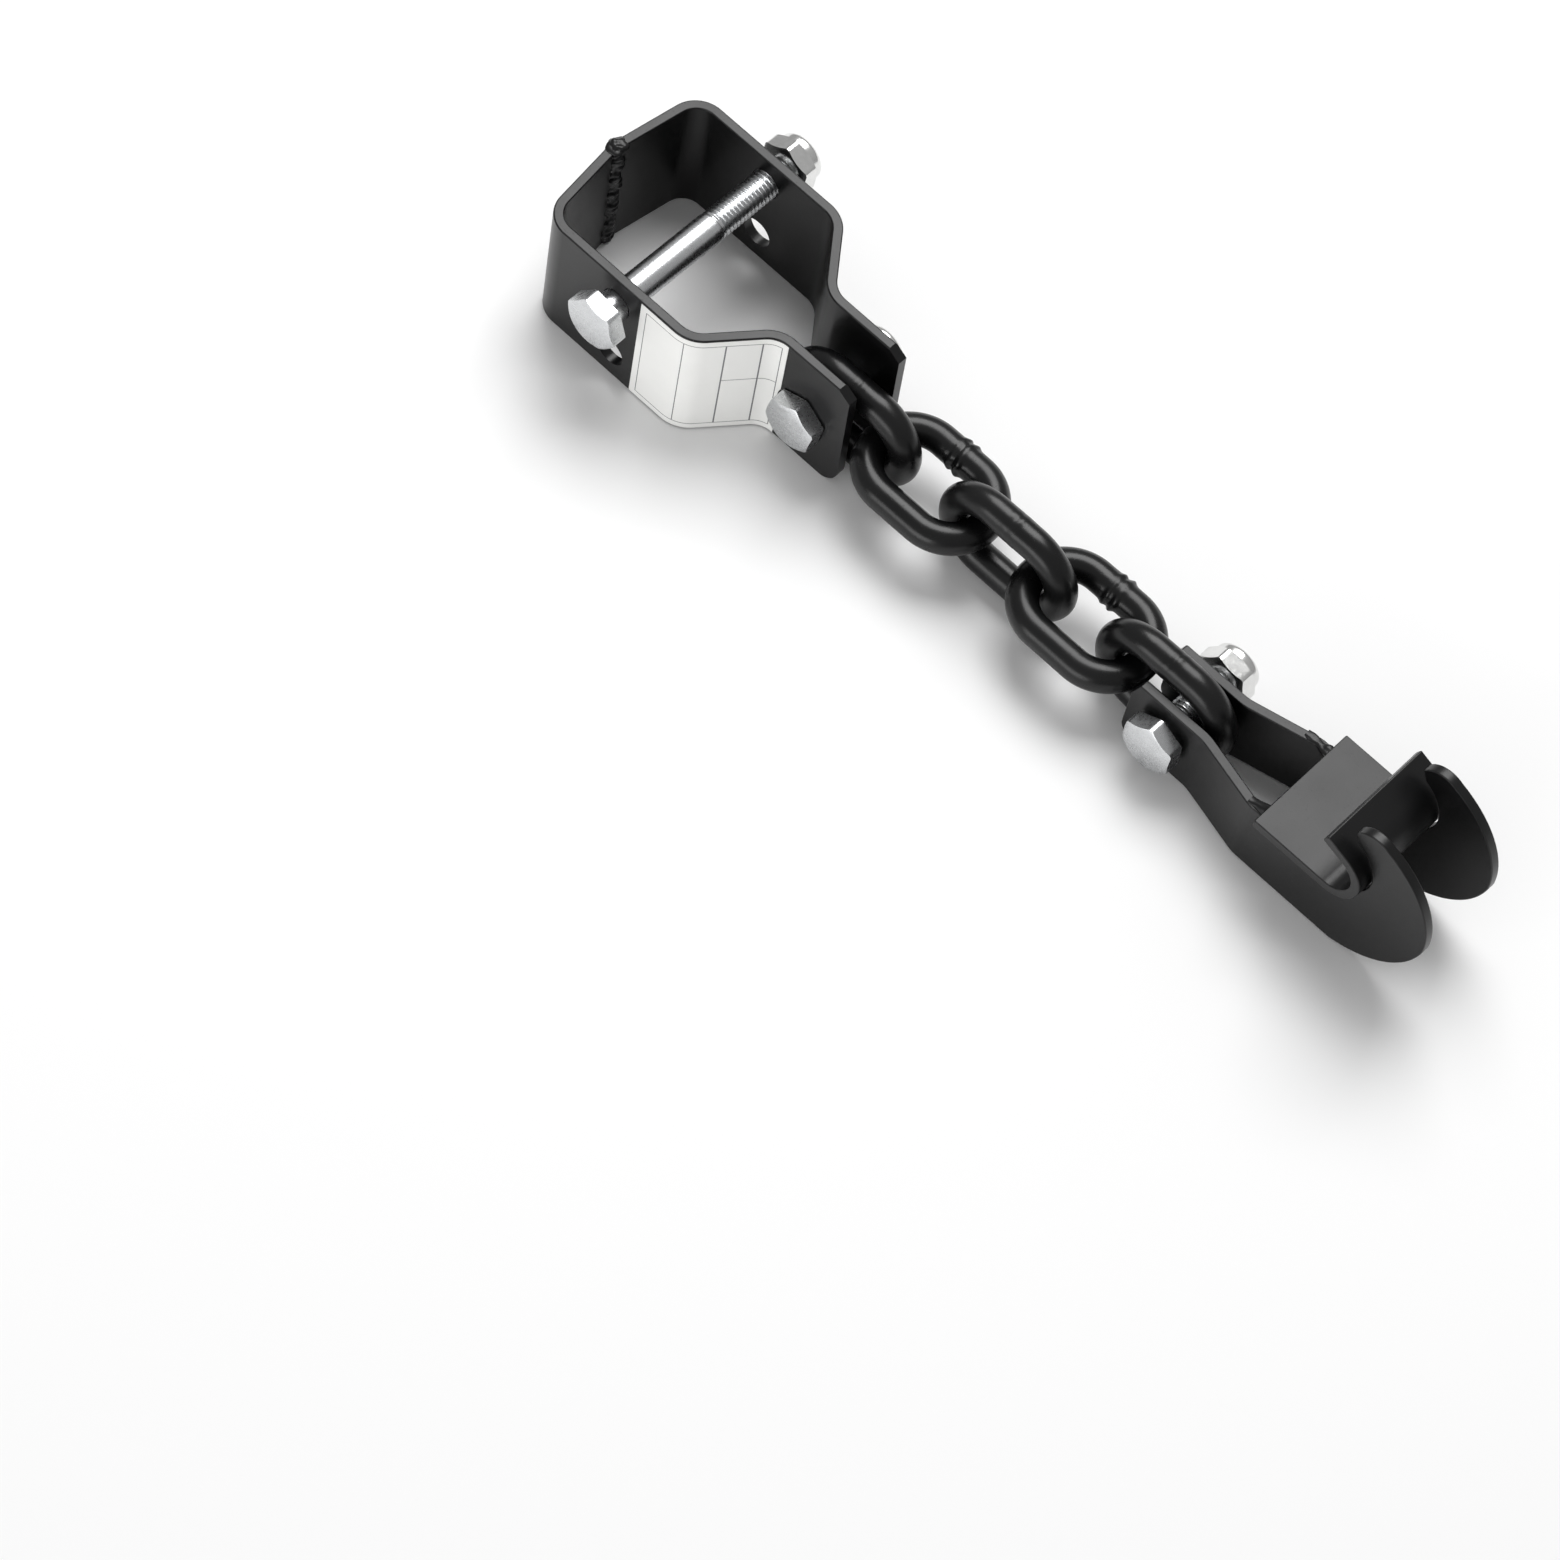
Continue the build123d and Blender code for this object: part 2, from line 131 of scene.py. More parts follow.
def add_piece(name, mesh, body, material, nodes):
    """Shows a mesh in place of CAD nodes, riding on their body."""
    piece = bpy.data.objects.new(name, mesh)
    bpy.context.scene.collection.objects.link(piece)
    mesh.materials.clear()
    mesh.materials.append(material)
    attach(piece, body)
    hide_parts(*nodes)
    return piece


def even_shading(piece):
    """Lets the large faces set the shading, so that flats stay flat next to their rounded edges."""
    weighted = piece.modifiers.new("even_shading", "WEIGHTED_NORMAL")
    weighted.keep_sharp = True


def mesh_from(name, shape, angle):
    """Mesh data from a bmesh: faces turned outwards, smooth but for edges sharper than an angle."""
    bmesh.ops.recalc_face_normals(shape, faces=shape.faces)
    mesh = bpy.data.meshes.new(name)
    shape.to_mesh(mesh)
    shape.free()
    mesh.shade_smooth()
    mesh.set_sharp_from_angle(angle=math.radians(angle))
    return mesh


def add_rings(shape, rings, closed_path=False):
    """Skins a list of rings of points, each ring closed, and closes both ends with a fan."""
    rows = [[shape.verts.new(point) for point in ring] for ring in rings]
    count = len(rows[0])
    pairs = list(zip(rows, rows[1:]))
    if closed_path:
        pairs.append((rows[-1], rows[0]))
    for low, high in pairs:
        for i in range(count):
            j = (i + 1) % count
            shape.faces.new((low[i], low[j], high[j], high[i]))
    if not closed_path:
        for row in (rows[0], rows[-1]):
            centre = shape.verts.new(sum((v.co for v in row), Vector()) / count)
            for i in range(count):
                shape.faces.new((row[i], row[(i + 1) % count], centre))


def ring(radius_at, height_at, count, turn=0.0):
    """Points round Z, with a radius and a height that may depend on the angle."""
    points = []
    for i in range(count):
        angle = TAU * i / count + turn
        radius = radius_at(angle)
        points.append(Vector((radius * math.cos(angle), radius * math.sin(angle), height_at(angle))))
    return points


def lathe(shape, profile, count=64):
    """Closed solid of revolution from (radius, height) points, from one end to the other."""
    add_rings(shape, [ring(lambda a: r, lambda a: z, count) for r, z in profile])


def bevel_sharp(shape, width, segments, angle):
    """Rounds the edges whose faces meet at more than an angle."""
    limit = math.radians(angle)
    sharp = [e for e in shape.edges if len(e.link_faces) == 2 and e.calc_face_angle(0.0) > limit]
    bmesh.ops.bevel(
        shape, geom=sharp, offset=width, offset_type="OFFSET", segments=segments,
        profile=0.5, affect="EDGES", clamp_overlap=True,
    )


def bumpy(point, scale, amount, seed):
    """Smooth noise at a point, up to about the amount either way."""
    return amount * noise.noise(point * scale + Vector((seed, seed * 0.7, -seed)))


# ---------------------------------------------------------------- materials

class Tree:
    """Short names for building a material's nodes."""

    def __init__(self, name):
        self.material = bpy.data.materials.new(name)
        self.material.use_nodes = True
        self.nodes = self.material.node_tree.nodes
        self.links = self.material.node_tree.links
        self.shader = self.nodes["Principled BSDF"]
        self.place = self.nodes.new("ShaderNodeTexCoord").outputs["Object"]

    def link(self, output, target):
        self.links.new(output, target)

    def noise(self, scale, detail=3.0, roughness=0.5, source=None):
        node = self.nodes.new("ShaderNodeTexNoise")
        node.inputs["Scale"].default_value = scale
        node.inputs["Detail"].default_value = detail
        node.inputs["Roughness"].default_value = roughness
        self.link(source or self.place, node.inputs["Vector"])
        return node.outputs["Fac"]

    def stretch(self, factors):
        node = self.nodes.new("ShaderNodeMapping")
        node.inputs["Scale"].default_value = factors
        self.link(self.place, node.inputs["Vector"])
        return node.outputs["Vector"]

    def ramp(self, value, low, high, out_low=0.0, out_high=1.0):
        node = self.nodes.new("ShaderNodeMapRange")
        node.inputs["From Min"].default_value = low
        node.inputs["From Max"].default_value = high
        node.inputs["To Min"].default_value = out_low
        node.inputs["To Max"].default_value = out_high
        self.link(value, node.inputs["Value"])
        return node.outputs["Result"]

    def math(self, operation, a, b):
        node = self.nodes.new("ShaderNodeMath")
        node.operation = operation
        for socket, value in zip(node.inputs, (a, b)):
            if isinstance(value, (int, float)):
                socket.default_value = value
            else:
                self.link(value, socket)
        return node.outputs["Value"]

    def mix(self, factor, colour_a, colour_b):
        node = self.nodes.new("ShaderNodeMix")
        node.data_type = "RGBA"
        self.link(factor, node.inputs["Factor"])
        for name, colour in (("A", colour_a), ("B", colour_b)):
            socket = [s for s in node.inputs if s.name == name and s.type == "RGBA"][0]
            if isinstance(colour, tuple):
                socket.default_value = (*colour, 1.0)
            else:
                self.link(colour, socket)
        return [s for s in node.outputs if s.type == "RGBA"][0]

    def bump(self, height, strength, distance, normal=None):
        node = self.nodes.new("ShaderNodeBump")
        node.inputs["Strength"].default_value = strength
        node.inputs["Distance"].default_value = distance
        self.link(height, node.inputs["Height"])
        if normal is not None:
            self.link(normal, node.inputs["Normal"])
        return node.outputs["Normal"]


def enamel(name, dark, light, gloss_low, gloss_high, peel):
    """Black paint on steel: faint orange peel, uneven gloss and a few dust nibs."""
    tree = Tree(name)
    shader = tree.shader
    cloud = tree.noise(40.0, 3.0, 0.5)
    tree.link(tree.mix(tree.ramp(cloud, 0.35, 0.7), dark, light), shader.inputs["Base Color"])
    sheen = tree.noise(55.0, 3.0, 0.5)
    tree.link(tree.ramp(sheen, 0.3, 0.7, gloss_low, gloss_high), shader.inputs["Roughness"])
    skin = tree.bump(tree.noise(750.0, 3.0, 0.55), peel, 0.00006)
    nibs = tree.ramp(tree.noise(1900.0, 1.0, 0.4), 0.70, 0.78)
    tree.link(tree.bump(nibs, 0.35, 0.00005, skin), shader.inputs["Normal"])
    shader.inputs["Specular IOR Level"].default_value = 0.33
    return tree.material


def zinc(name, tint, gloss_low, gloss_high):
    """Bright zinc plate: slightly mottled, with fine scratches."""
    tree = Tree(name)
    shader = tree.shader
    mottle = tree.noise(420.0, 5.0, 0.7)
    dull = tuple(0.90 * c for c in tint)
    tree.link(tree.mix(tree.ramp(mottle, 0.3, 0.72), dull, tint), shader.inputs["Base Color"])
    wear = tree.noise(900.0, 4.0, 0.6)
    tree.link(tree.ramp(wear, 0.3, 0.7, gloss_low, gloss_high), shader.inputs["Roughness"])
    scratches = tree.noise(700.0, 4.0, 0.6, tree.stretch((1.0, 6.0, 1.0)))
    grain = tree.bump(scratches, 0.03, 0.00005)
    tree.link(tree.bump(tree.noise(2600.0, 2.0, 0.5), 0.02, 0.00003, grain), shader.inputs["Normal"])
    shader.inputs["Metallic"].default_value = 1.0
    return tree.material


def nylon():
    """Pale plastic of the nuts' locking rings."""
    tree = Tree("nut_ring_nylon")
    shader = tree.shader
    cloud = tree.noise(500.0, 3.0, 0.5)
    tree.link(tree.mix(cloud, (0.62, 0.65, 0.70), (0.74, 0.76, 0.80)), shader.inputs["Base Color"])
    shader.inputs["Roughness"].default_value = 0.45
    shader.inputs["Subsurface Weight"].default_value = 0.15
    shader.inputs["Subsurface Radius"].default_value = (0.001, 0.001, 0.001)
    return tree.material


def label_film():
    """White film with a plain ruled frame and empty boxes, and no lettering."""
    tree = Tree("label_film")
    shader = tree.shader
    low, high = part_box("blank_label")
    split = tree.nodes.new("ShaderNodeSeparateXYZ")
    tree.link(tree.place, split.inputs["Vector"])
    length = high.x - low.x
    height = high.z - low.z
    along = tree.ramp(split.outputs["X"], low.x, high.x)
    up = tree.ramp(split.outputs["Z"], low.z, high.z)
    line = 0.14 * MM

    def between(value, start, end):
        above = tree.math("GREATER_THAN", value, start)
        return tree.math("MULTIPLY", above, tree.math("LESS_THAN", value, end))

    def bar(x0, x1, z0, z1):
        return tree.math("MULTIPLY", between(along, x0, x1), between(up, z0, z1))

    def rule_up(x, z0, z1):
        return bar(x - line / length, x + line / length, z0, z1)

    def rule_along(z, x0, x1):
        return bar(x0, x1, z - line / height, z + line / height)

    rules = [
        rule_up(0.06, 0.05, 0.95), rule_up(0.43, 0.05, 0.95), rule_up(0.66, 0.05, 0.95),
        rule_up(0.83, 0.05, 0.95), rule_up(0.95, 0.05, 0.95), rule_along(0.05, 0.06, 0.95),
        rule_along(0.95, 0.06, 0.95), rule_along(0.55, 0.66, 0.95),
    ]
    ink = rules[0]
    for rule in rules[1:]:
        ink = tree.math("MAXIMUM", ink, rule)
    paper = tree.mix(tree.noise(90.0, 4.0, 0.6), (0.84, 0.84, 0.82), (0.90, 0.90, 0.88))
    ink_colour = tree.mix(tree.noise(3000.0, 2.0, 0.5), (0.10, 0.10, 0.11), (0.22, 0.22, 0.23))
    tree.link(tree.mix(ink, paper, ink_colour), shader.inputs["Base Color"])
    tree.link(tree.ramp(tree.noise(300.0, 3.0, 0.5), 0.3, 0.7, 0.42, 0.55), shader.inputs["Roughness"])
    tree.link(tree.bump(tree.noise(160.0, 4.0, 0.6), 0.25, 0.00025), shader.inputs["Normal"])
    return tree.material


MATERIALS = {
    "clamp_paint": enamel(
        "clamp_enamel", (0.0035, 0.0035, 0.0038), (0.0055, 0.0055, 0.0058), 0.28, 0.33, 0.16,
    ),
    "hook_paint": enamel(
        "hook_enamel", (0.0038, 0.0038, 0.0040), (0.006, 0.006, 0.0063), 0.30, 0.35, 0.16,
    ),
    "chain_paint": enamel(
        "chain_enamel", (0.0032, 0.0032, 0.0034), (0.006, 0.006, 0.0062), 0.24, 0.32, 0.22,
    ),
    "zinc_bolt": zinc("bolt_zinc", (0.66, 0.67, 0.68), 0.24, 0.33),
    "zinc_nut": zinc("nut_zinc", (0.80, 0.80, 0.79), 0.16, 0.24),
    "nylon": nylon(),
    "label_paper": label_film(),
}


def dress_cad_nodes():
    """Gives every CAD node that stays visible the material of its slot."""
    for subpart in frame["record"]["subparts"]:
        mesh = frame["nodes"][subpart["node"]].data
        mesh.materials.clear()
        mesh.materials.append(MATERIALS[subpart["material_slot"]])


# ---------------------------------------------------------------- fasteners

def hexagon_radius(angle, turn):
    """Distance from a hexagon's centre to its outline, with a slightly blunt corner at turn."""
    from_middle = (angle - turn) % (TAU / 6) - TAU / 12
    return min(HEX_CORNER_RADIUS, HEX_ACROSS_FLATS / 2 / math.cos(from_middle))


def add_hexagon(shape, bottom, top, turn, chamfer_bottom, chamfer_top):
    """Hexagonal prism along Z whose chosen ends have the usual 30 degree chamfer."""
    slope = math.tan(math.radians(30))
    count = 120
    angles = [turn + TAU * i / count for i in range(count)]

    def outline(height, sign, chamfered):
        points = []
        for angle in angles:
            radius = hexagon_radius(angle, turn)
            drop = (radius - HEX_FLAT_RADIUS) * slope if chamfered else 0.0
            level = height + sign * drop
            points.append(Vector((radius * math.cos(angle), radius * math.sin(angle), level)))
        return points

    def flat(height):
        radius = HEX_FLAT_RADIUS
        return [Vector((radius * math.cos(a), radius * math.sin(a), height)) for a in angles]

    rings = [flat(bottom)] if chamfer_bottom else []
    rings.append(outline(bottom, 1, chamfer_bottom))
    rings.append(outline(top, -1, chamfer_top))
    if chamfer_top:
        rings.append(flat(top))
    add_rings(shape, rings)


def add_thread(shape, start, end, count=48, steps=10):
    """Threaded rod with a true helix, running out of the shank and chamfered at its tip."""
    rows = int((end - start) / THREAD_PITCH * steps)
    tip = 1.0 * MM
    rings = []
    for row in range(rows + 1):
        height = start + (end - start) * row / rows
        fade = min(1.0, (height - start) / (1.6 * THREAD_PITCH))
        limit = SHANK_RADIUS - max(0.0, height - (end - tip))

        def radius_at(angle):
            phase = (height / THREAD_PITCH - angle / TAU) % 1.0
            ridge = min(1.0, max(0.0, (abs(phase - 0.5) * 2 - 0.12) / 0.72))
            return min(limit, SHANK_RADIUS - 0.08 * MM - fade * THREAD_DEPTH * (1 - ridge))

        rings.append(ring(radius_at, lambda a: height, count))
    add_rings(shape, rings)


def lay_along_y(shape, place):
    """Turns what was made along +Z so that it runs along +Y, and moves it to its place."""
    turn = Matrix.Translation(place) @ Matrix.Rotation(math.radians(-90), 4, "X")
    bmesh.ops.transform(shape, matrix=turn, verts=shape.verts)


def bolt(name, body, corner_degrees, thread_length):
    """Hexagon bolt from its CAD node's box: head at -Y, thread at +Y."""
    low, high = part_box(name)
    length = high.y - low.y - HEAD_HEIGHT
    turn = -math.radians(corner_degrees)
    shape = bmesh.new()
    add_hexagon(shape, -HEAD_HEIGHT, -WASHER_FACE_HEIGHT, turn, True, False)
    bevel_sharp(shape, HEAD_EDGE_ROUND, 2, HEX_SHARP_ANGLE)
    lathe(shape, [
        (WASHER_FACE_RADIUS, -0.5 * MM), (WASHER_FACE_RADIUS, -0.02 * MM),
        (WASHER_FACE_RADIUS - 0.1 * MM, 0.0),
    ])
    shank_end = length - thread_length
    lathe(shape, [
        (SHANK_RADIUS + FILLET_FLARE, -0.1 * MM), (SHANK_RADIUS + 0.05 * MM, 0.1 * MM),
        (SHANK_RADIUS, 0.4 * MM),
        (SHANK_RADIUS, shank_end - 0.4 * MM), (SHANK_RADIUS - 0.3 * MM, shank_end + 0.1 * MM),
    ])
    add_thread(shape, shank_end - 0.1 * MM, length)
    centre = middle(name)
    lay_along_y(shape, (centre.x, low.y + HEAD_HEIGHT, centre.z))
    mesh = mesh_from(name, shape, FASTENER_SHARP_ANGLE)
    even_shading(add_piece(name + "_shape", mesh, body, MATERIALS["zinc_bolt"], [name]))


def nut(name, body, corner_degrees):
    """Self-locking nut from its CAD node's box: bearing face at -Y, domed collar at +Y."""
    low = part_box(name)[0]
    shape = bmesh.new()
    add_hexagon(shape, 0.0, NUT_HEX_HEIGHT, -math.radians(corner_degrees), True, True)
    bevel_sharp(shape, NUT_EDGE_ROUND, 2, HEX_SHARP_ANGLE)
    round_centre = NUT_COLLAR_RADIUS - NUT_COLLAR_ROUND
    dome = [
        (NUT_COLLAR_RADIUS, NUT_HEX_HEIGHT - 0.6 * MM), (NUT_COLLAR_RADIUS, NUT_HEX_HEIGHT + 0.9 * MM),
    ]
    for i in range(9):
        angle = math.radians(90 * i / 8)
        dome.append((
            round_centre + NUT_COLLAR_ROUND * math.cos(angle),
            NUT_HEIGHT - NUT_COLLAR_ROUND + NUT_COLLAR_ROUND * math.sin(angle),
        ))
    lip = NUT_HEIGHT - NUT_LIP_HEIGHT
    dome += [
        (NUT_LIP_RADIUS, NUT_HEIGHT), (NUT_LIP_RADIUS, lip),
        (NUT_LIP_RADIUS + 0.6 * MM, lip - 0.05 * MM), (NUT_LIP_RADIUS + 0.6 * MM, lip - 2.2 * MM),
    ]
    lathe(shape, dome)
    centre = middle(name)
    lay_along_y(shape, (centre.x, low.y, centre.z))
    mesh = mesh_from(name, shape, FASTENER_SHARP_ANGLE)
    even_shading(add_piece(name + "_shape", mesh, body, MATERIALS["zinc_nut"], [name]))


# ---------------------------------------------------------------- chain

CHAIN_HEIGHT = middle("chain_link_2").z


def stadium_point(distance, bend_radius, leg):
    """Point and heading on a link's centre line, a distance along it from the middle of its +Y leg."""
    arc = math.pi * bend_radius
    distance %= 2 * (leg + arc)
    if distance < leg / 2:
        return Vector((distance, bend_radius, 0)), 0.0
    distance -= leg / 2
    if distance < arc:
        turn = distance / bend_radius
        return Vector((leg / 2 + bend_radius * math.sin(turn), bend_radius * math.cos(turn), 0)), -turn
    distance -= arc
    if distance < leg:
        return Vector((leg / 2 - distance, -bend_radius, 0)), -math.pi
    distance -= leg
    if distance < arc:
        turn = distance / bend_radius
        point = Vector((-leg / 2 - bend_radius * math.sin(turn), -bend_radius * math.cos(turn), 0))
        return point, -math.pi - turn
    distance -= arc
    return Vector((-leg / 2 + distance, bend_radius, 0)), 0.0


def chain_link(number):
    """Welded link: a swept wire with a squeezed butt weld in the middle of its +Y or upper leg."""
    node = f"chain_link_{number}"
    upright = number % 2 == 1
    bend_radius = LINK_INNER_WIDTH / 2 + WIRE_RADIUS
    leg = LINK_INNER_LENGTH - LINK_INNER_WIDTH
    length = 2 * (leg + math.pi * bend_radius)
    swell = (0.12 if upright else 0.62) * MM
    steps = 300
    around = 40
    rings = []
    for step in range(steps):
        share = step / steps
        # Steps crowd together near the weld
        distance = length * (share - 0.055 * math.sin(TAU * share))
        from_weld = (distance + length / 2) % length - length / 2
        point, heading = stadium_point(distance, bend_radius, leg)
        side = Vector((math.sin(heading), -math.cos(heading), 0)) * -1
        circle = []
        for i in range(around):
            angle = TAU * i / around
            outward = side * math.cos(angle) + Vector((0, 0, 1)) * math.sin(angle)
            spot = point + outward * WIRE_RADIUS
            lobes = 0.25 + 1.05 * abs(math.cos(angle)) ** 1.6 * (1 + bumpy(spot, 260.0, 0.9, number))
            shift = from_weld + bumpy(outward, 1.4, 1.6 * MM, 2.0 * number)
            ridge_a = math.exp(-((shift - 1.7 * MM) / (1.1 * MM)) ** 2)
            ridge_b = 0.7 * math.exp(-((shift + 1.3 * MM) / (1.0 * MM)) ** 2)
            groove = 0.2 * math.exp(-(from_weld / (0.4 * MM)) ** 2)
            near = math.exp(-(from_weld / (4.0 * MM)) ** 2)
            ragged = near * bumpy(spot, 700.0, 0.22 * swell / MM, number) * MM
            radius = WIRE_RADIUS + swell * lobes * (ridge_a + ridge_b - groove) + ragged
            radius += bumpy(spot, 90.0, 0.07 * MM, 3.1 * number)
            circle.append(point + outward * radius)
        rings.append(circle)
    shape = bmesh.new()
    add_rings(shape, rings, closed_path=True)
    turn = Matrix.Rotation(math.radians(90), 4, "X") if upright else Matrix.Identity(4)
    place = Vector((middle(node).x, 0.0, CHAIN_HEIGHT))
    bmesh.ops.transform(shape, matrix=Matrix.Translation(place) @ turn, verts=shape.verts)
    mesh = mesh_from(node, shape, 60.0)
    add_piece(node + "_shape", mesh, f"link_{number}", MATERIALS["chain_paint"], [node])


# ---------------------------------------------------------------- plates and welds

def softened_copy(node, body, slot):
    """The CAD node's own shape with its sharp edges rounded."""
    shape = bmesh.new()
    shape.from_mesh(frame["nodes"][node].data)
    bmesh.ops.remove_doubles(shape, verts=shape.verts, dist=0.002 * MM)
    bmesh.ops.dissolve_limit(
        shape, angle_limit=math.radians(0.6), verts=shape.verts, edges=shape.edges, delimit=set(),
    )
    bevel_sharp(shape, PLATE_EDGE_ROUND, 3, PLATE_BEND_ANGLE)
    mesh = mesh_from(node, shape, PLATE_BEND_ANGLE)
    piece = add_piece(node + "_shape", mesh, body, MATERIALS[slot], [node])
    even_shading(piece)


def add_weld_crater(shape, place, radius, rise):
    """Where the weld run stopped: a lumpy mound with a slightly sunken middle."""
    profile = [(1.0, -1.6), (1.02, -0.6), (0.95, 0.1), (0.80, 0.62), (0.60, 0.93), (0.45, 1.0)]
    profile += [(0.30, 0.94), (0.16, 0.84), (0.06, 0.80)]
    rings = []
    for share, height in profile:

        def lumpy(angle):
            spot = Vector((math.cos(angle), math.sin(angle), height)) * share * radius
            return radius * share * (1 + bumpy(spot, 380.0, 0.35, 4.0))

        def uneven(angle):
            spot = Vector((math.cos(angle), math.sin(angle), 0)) * share * radius
            return rise * (height + bumpy(spot, 520.0, 0.9, 8.0) * share)

        rings.append([place + point for point in ring(lumpy, uneven, 40)])
    add_rings(shape, rings)


def seam_weld():
    """Butt weld at the back of the clamp: an uneven bead outside, and a wider, lumpy one inside."""
    low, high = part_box("clamp_seam_weld")
    centre_x = (low.x + high.x) / 2
    rows = 190
    around = 48
    rings = []
    for row in range(rows + 1):
        share = row / rows
        height = low.z + (high.z - low.z) * share
        cap = math.sqrt(max(0.0, 1 - max(0.0, (abs(share - 0.5) - 0.485) / 0.015) ** 2))
        wander = 0.8 * noise.noise(Vector((0, 2.0, height * 230.0)))
        ripple = abs(math.sin(math.pi * height / (2.7 * MM) + 1.6 * wander))
        circle = []
        for i in range(around):
            angle = TAU * i / around
            inside = math.cos(angle) > 0
            spot = Vector((math.cos(angle) * 3 * MM, math.sin(angle) * 3 * MM, height))
            lump = bumpy(spot, 270.0, 1.0, 5.0) + bumpy(spot, 700.0, 0.5, 9.0)
            crown = max(0.12, 0.80 + 0.10 * ripple + (0.7 if inside else 0.3) * lump)
            most, gain = (BEAD_MOST_INSIDE, 1.7) if inside else (BEAD_MOST_OUTSIDE, 0.9)
            thick = STRAP_THICKNESS / 2 + MM * cap * min(most, gain * crown)
            width = (3.2 + 0.5 * lump) * MM * (0.4 + 0.6 * cap)
            x = centre_x + thick * math.copysign(abs(math.cos(angle)) ** 0.75, math.cos(angle))
            circle.append(Vector((x, width * math.sin(angle) + 0.5 * MM * wander, height)))
        rings.append(circle)
    shape = bmesh.new()
    add_rings(shape, rings)
    crater_place = Vector((centre_x + 0.7 * MM, 0.7 * MM, high.z - 0.5 * MM))
    add_weld_crater(shape, crater_place, CRATER_RADIUS, CRATER_RISE)
    mesh = mesh_from("seam_bead", shape, 75.0)
    add_piece("seam_bead", mesh, "clamp", MATERIALS["clamp_paint"], ["clamp_seam_weld"])


def corner_weld(node, lumps, roughness, seed):
    """Weld run behind the saddle plate: it climbs from the cheek's upper edge to the plate."""
    low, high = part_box(node)
    inner_side = -1 if middle(node).y > 0 else 1
    length = high.x - low.x
    height = high.z - low.z
    centre_y = (low.y + high.y) / 2
    half_width = (high.y - low.y) / 2
    rows = 40
    around = 28
    rings = []
    for row in range(rows + 1):
        share = row / rows
        rise = share ** 1.4
        beads = 1 + 0.14 * math.sin(math.pi * lumps * share)
        top = (0.16 + 0.84 * rise) * height * beads
        spread = half_width * (0.62 + 0.38 * share) * beads
        drift = inner_side * 0.5 * MM * share
        circle = []
        for i in range(around):
            angle = TAU * i / around
            up = math.sin(angle)
            spot = Vector((low.x + length * share, math.cos(angle) * 3 * MM, up * 2 * MM))
            wobble = 1 + bumpy(spot, 420.0, roughness, seed)
            z = low.z + (top * up * wobble if up > 0 else 0.3 * MM * up)
            y = centre_y + drift + spread * math.cos(angle) * wobble
            circle.append(Vector((low.x + (length + 0.2 * MM) * share, y, z)))
        rings.append(circle)
    shape = bmesh.new()
    add_rings(shape, rings)
    mesh = mesh_from(node, shape, 70.0)
    add_piece(node + "_shape", mesh, "hook", MATERIALS["hook_paint"], [node])


# ---------------------------------------------------------------- stage

def camera_axes():
    """Right, up and back of the camera, before its roll."""
    a = math.radians(CAMERA_AZIMUTH)
    e = math.radians(CAMERA_ELEVATION)
    back = Vector((math.sin(a) * math.cos(e), -math.cos(a) * math.cos(e), math.sin(e)))
    right = Vector((math.cos(a), math.sin(a), 0.0))
    return right, back.cross(right), back


def make_camera():
    right, up, back = camera_axes()
    roll = math.radians(CAMERA_ROLL)
    x_axis = right * math.cos(roll) + up * math.sin(roll)
    y_axis = up * math.cos(roll) - right * math.sin(roll)
    data = bpy.data.cameras.new("camera")
    data.sensor_width = 36.0
    data.lens = CAMERA_LENS
    data.clip_start = 0.05
    camera = bpy.data.objects.new("camera", data)
    bpy.context.scene.collection.objects.link(camera)
    turn = Matrix((x_axis, y_axis, back)).transposed().to_4x4()
    camera.matrix_world = Matrix.Translation(AIM_FROM_ORIGIN + back * CAMERA_DISTANCE) @ turn
    bpy.context.scene.camera = camera


def area_light(name, place, target, size, power):
    data = bpy.data.lights.new(name, "AREA")
    data.shape = "RECTANGLE"
    data.size, data.size_y = size
    data.energy = power
    light = bpy.data.objects.new(name, data)
    light.location = place
    light.rotation_euler = (Vector(target) - Vector(place)).to_track_quat("-Z", "Y").to_euler()
    bpy.context.scene.collection.objects.link(light)


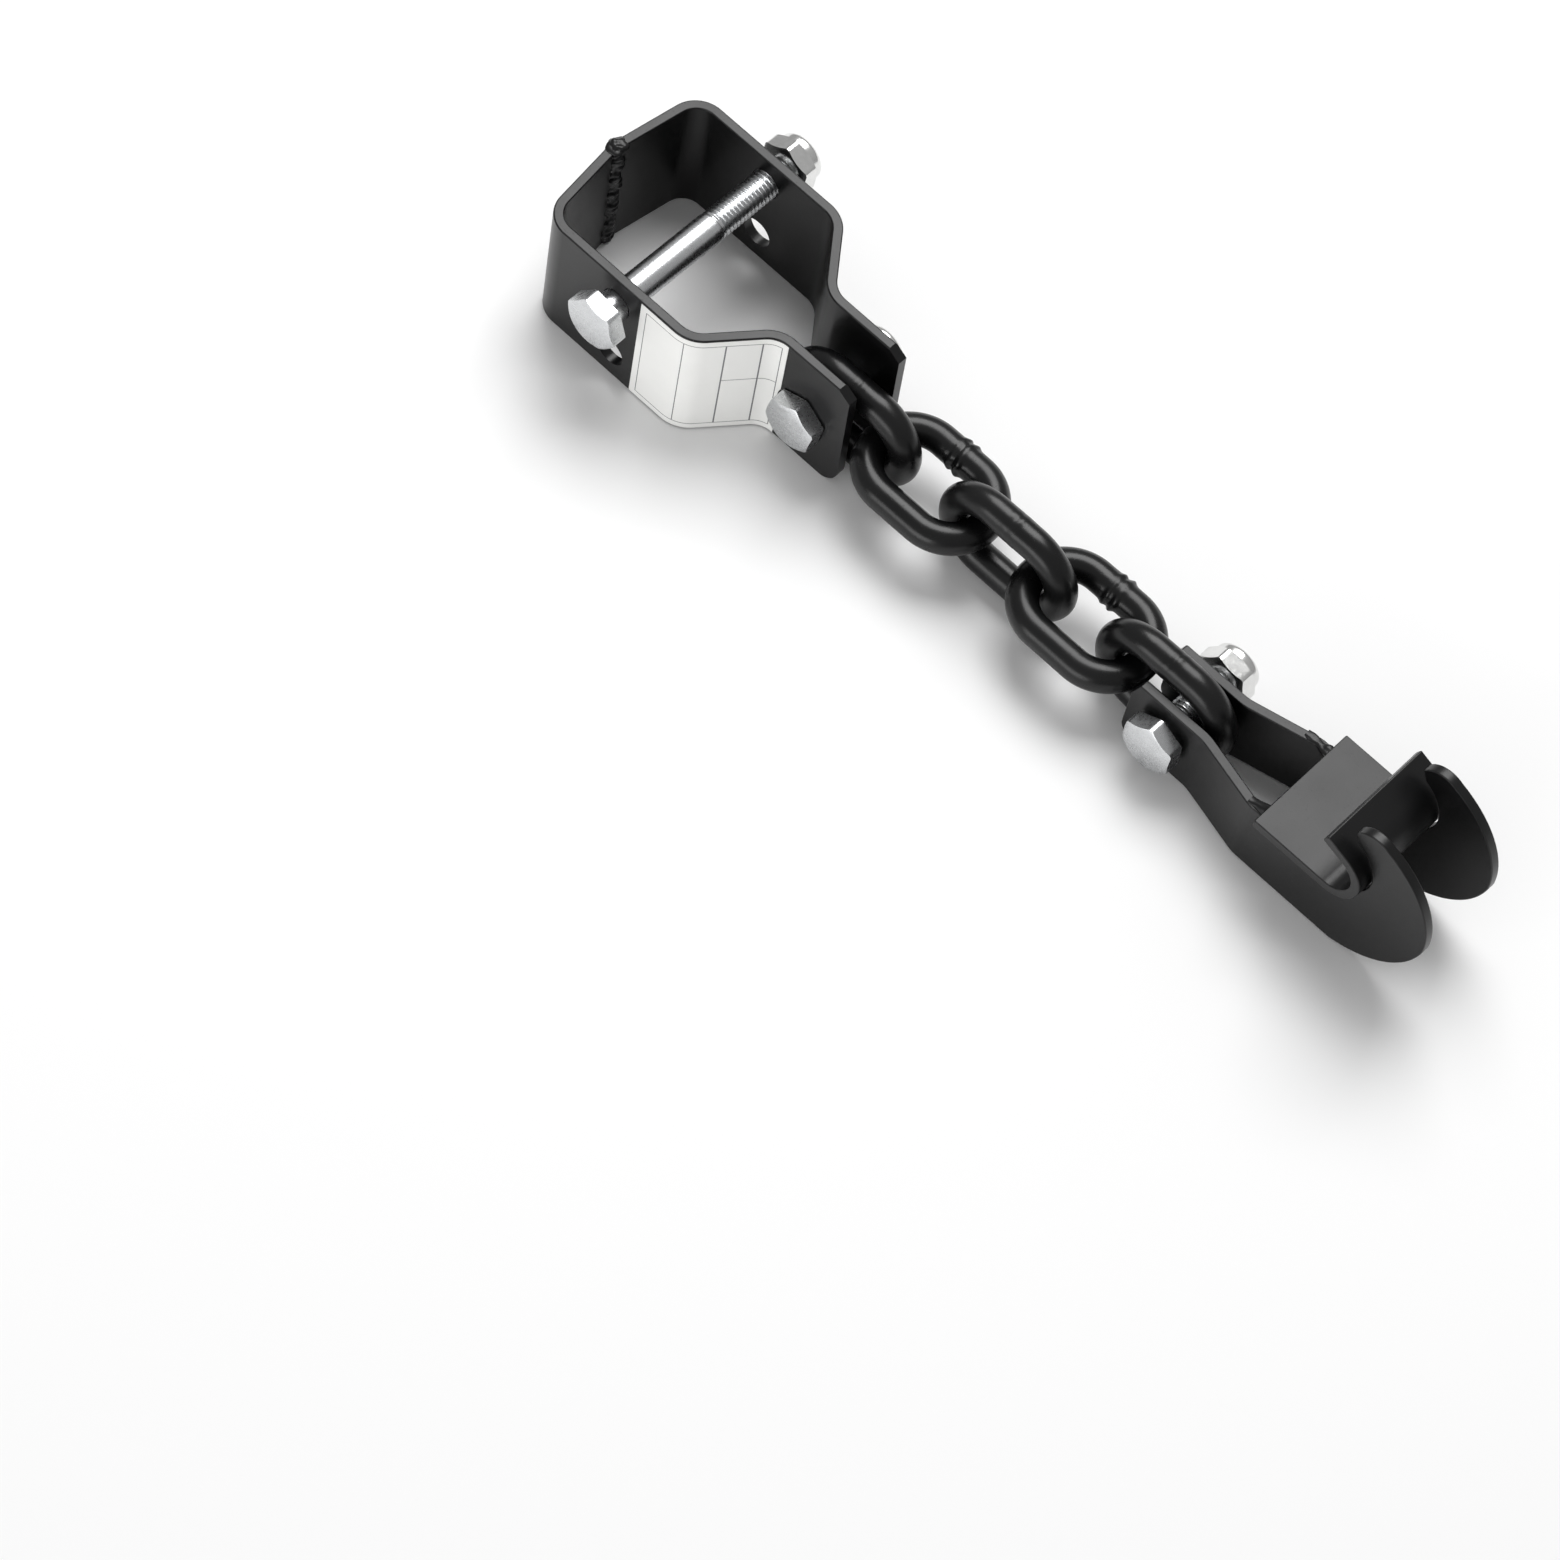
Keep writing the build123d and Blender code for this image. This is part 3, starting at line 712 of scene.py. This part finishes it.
def make_light():
    """Sky a little brighter overhead, one large soft box and one low, wide light in front."""
    world = bpy.data.worlds.new("studio")
    bpy.context.scene.world = world
    world.use_nodes = True
    nodes = world.node_tree.nodes
    links = world.node_tree.links
    background = nodes["Background"]
    direction = nodes.new("ShaderNodeTexCoord")
    split = nodes.new("ShaderNodeSeparateXYZ")
    links.new(direction.outputs["Generated"], split.inputs["Vector"])
    shade = nodes.new("ShaderNodeMapRange")
    shade.inputs["From Min"].default_value = 0.15
    shade.inputs["From Max"].default_value = 0.75
    shade.inputs["To Min"].default_value = SKY_LOW
    shade.inputs["To Max"].default_value = SKY_HIGH
    background.inputs["Color"].default_value = (1.0, 1.0, 1.0, 1.0)
    links.new(split.outputs["Z"], shade.inputs["Value"])
    links.new(shade.outputs["Result"], background.inputs["Strength"])
    area_light("overhead", OVERHEAD_PLACE, LIGHT_TARGET, OVERHEAD_SIZE, OVERHEAD_POWER)
    area_light("front_fill", FRONT_PLACE, LIGHT_TARGET, FRONT_SIZE, FRONT_POWER)


def make_floor(height):
    size = FLOOR_HALF_SIZE
    mesh = bpy.data.meshes.new("floor")
    mesh.from_pydata(
        [(-size, -size, height), (size, -size, height), (size, size, height), (-size, size, height)],
        [], [(0, 1, 2, 3)],
    )
    floor = bpy.data.objects.new("floor", mesh)
    bpy.context.scene.collection.objects.link(floor)
    material = bpy.data.materials.new("floor_white")
    material.use_nodes = True
    shader = material.node_tree.nodes["Principled BSDF"]
    shader.inputs["Base Color"].default_value = (FLOOR_WHITE, FLOOR_WHITE, FLOOR_WHITE, 1.0)
    shader.inputs["Roughness"].default_value = 0.9
    shader.inputs["Specular IOR Level"].default_value = 0.1
    mesh.materials.append(material)


bpy.context.scene.view_settings.view_transform = "Standard"
dress_cad_nodes()
bolt("clamp_bolt", "clamp_bolt", 170.0, 40.2 * MM)
bolt("ear_bolt", "ear_bolt", 142.0, 25.0 * MM)
bolt("hook_bolt", "hook_bolt", 152.0, 27.0 * MM)
nut("clamp_nut", "clamp_bolt", 91.0)
nut("ear_nut", "ear_bolt", 100.0)
nut("hook_nut", "hook_bolt", 109.0)
for link_number in range(1, 6):
    chain_link(link_number)
seam_weld()
for plate in ("hook_cheek_left", "hook_cheek_right", "hook_saddle_plate"):
    softened_copy(plate, "hook", "hook_paint")
for plate in ("clamp_half_left", "clamp_half_right"):
    softened_copy(plate, "clamp", "clamp_paint")
corner_weld("hook_weld_left", 0.0, 0.10, 2.0)
corner_weld("hook_weld_right", 3.0, 0.28, 7.0)
make_floor(cad_box[0][2])
make_light()
make_camera()
